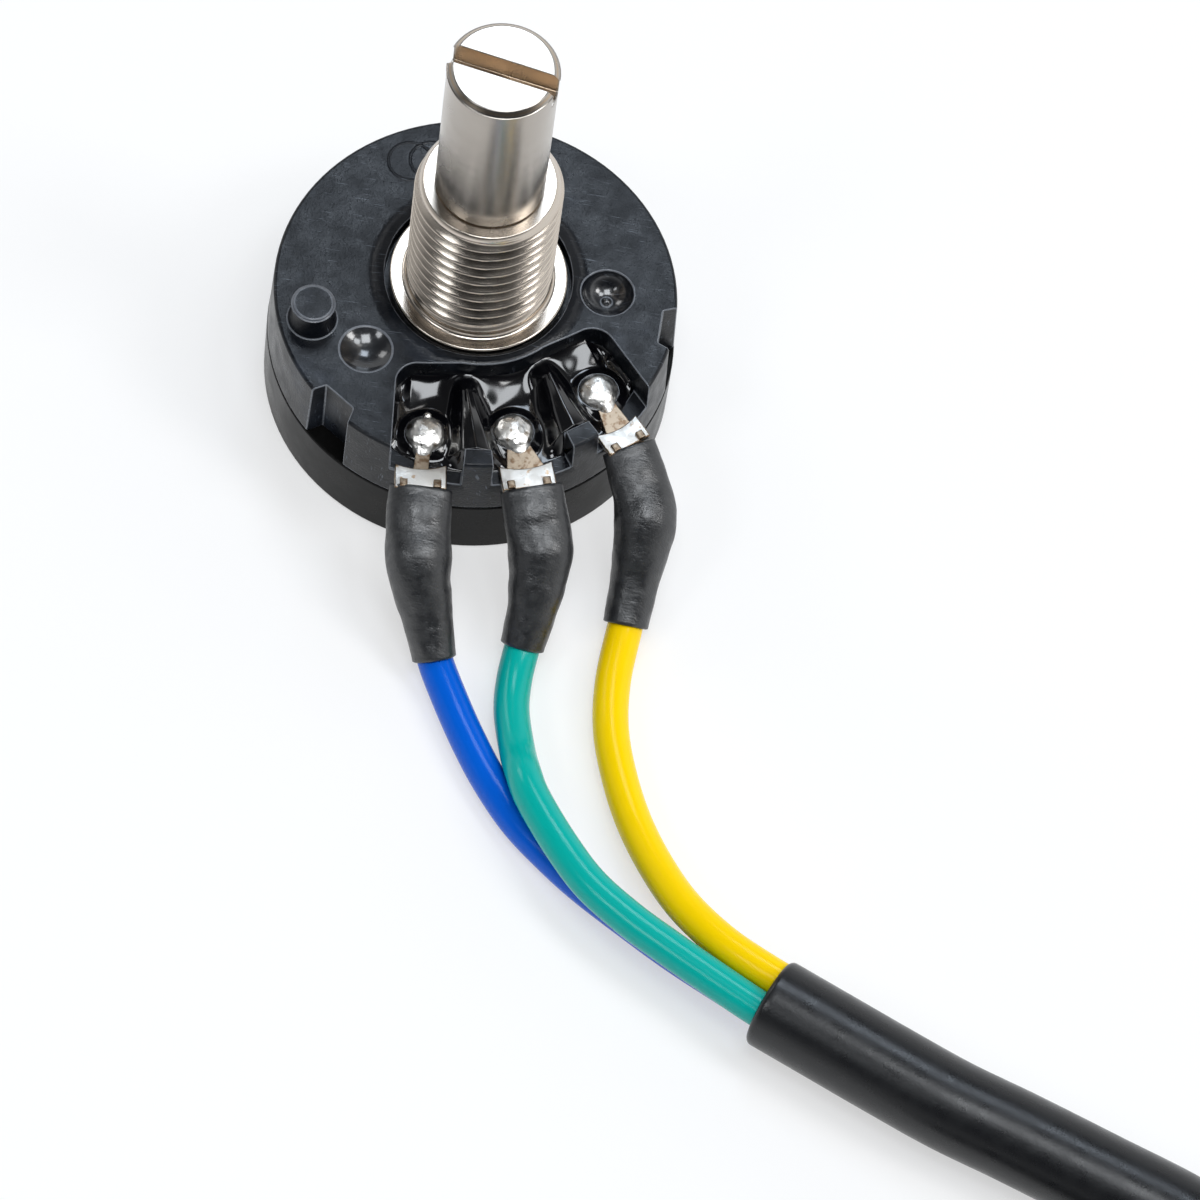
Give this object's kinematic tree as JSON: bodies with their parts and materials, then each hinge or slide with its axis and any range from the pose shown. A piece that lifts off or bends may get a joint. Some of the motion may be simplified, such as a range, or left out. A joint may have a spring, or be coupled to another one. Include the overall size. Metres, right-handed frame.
{
  "type": "rotary potentiometer",
  "caption": "Panel-mount rotary potentiometer with a round moulded housing, threaded bushing, slotted shaft, locating lug, potted solder tags and a coiled multi-core cable.",
  "frame": {"origin": "where the shaft's axis meets the rear cover's outer face", "axes": "+Z along the shaft towards its slotted end, -Y towards the solder tags, the cable leaves towards +X and -Y"},
  "size_m": [0.0887, 0.1317, 0.0315],
  "materials": {
    "housing_plastic": "satin moulded thermoset with fine scratches",
    "cover_plastic": "smooth moulded thermoset",
    "bushing_metal": "turned and nickel plated",
    "shaft_metal": "turned, with fine rings",
    "clip_steel": "pressed spring steel",
    "washer_plastic": "natural",
    "wafer_laminate": "phenolic laminate",
    "carbon_print": "printed carbon",
    "silver_print": "printed silver",
    "rotor_plastic": "natural",
    "spring_brass": "rolled spring sheet",
    "tag_tin": "bright tinned sheet",
    "solder": "bright solder",
    "potting_resin": "cast resin, glossy",
    "sleeve_rubber": "satin shrink sleeve",
    "insulation_blue": "extruded, glossy",
    "insulation_green": "extruded, glossy",
    "insulation_yellow": "extruded, glossy",
    "jacket_rubber": "satin with a fine grain",
    "tie_plastic": "moulded nylon"
  },
  "bodies": {
    "housing": {"front_housing": "housing_plastic", "rear_cover": "cover_plastic", "bushing": "bushing_metal", "element_wafer": "wafer_laminate", "resistive_track": "carbon_print", "collector_ring": "silver_print", "thrust_washer": "washer_plastic", "terminal_left": "tag_tin", "terminal_middle": "tag_tin", "terminal_right": "tag_tin", "solder_left": "solder", "solder_middle": "solder", "solder_right": "solder", "potting": "potting_resin", "sleeve_left": "sleeve_rubber", "sleeve_middle": "sleeve_rubber", "sleeve_right": "sleeve_rubber", "wire_blue": "insulation_blue", "wire_green": "insulation_green", "wire_yellow": "insulation_yellow", "cable_jacket": "jacket_rubber", "cable_coil": "jacket_rubber", "cable_end": "jacket_rubber", "coil_tie": "tie_plastic", "core_end_blue": "insulation_blue", "core_end_green": "insulation_green", "core_end_yellow": "insulation_yellow"},
    "spindle": {"shaft": "shaft_metal", "retaining_clip": "clip_steel", "rotor": "rotor_plastic", "wiper": "spring_brass"}
  },
  "joints": [
    {"name": "shaft_turn", "type": "hinge", "parent": "housing", "child": "spindle", "pos_m": [0, 0, 0], "axis": [0, 0, 1], "range_deg": [-150, 150]}
  ]
}
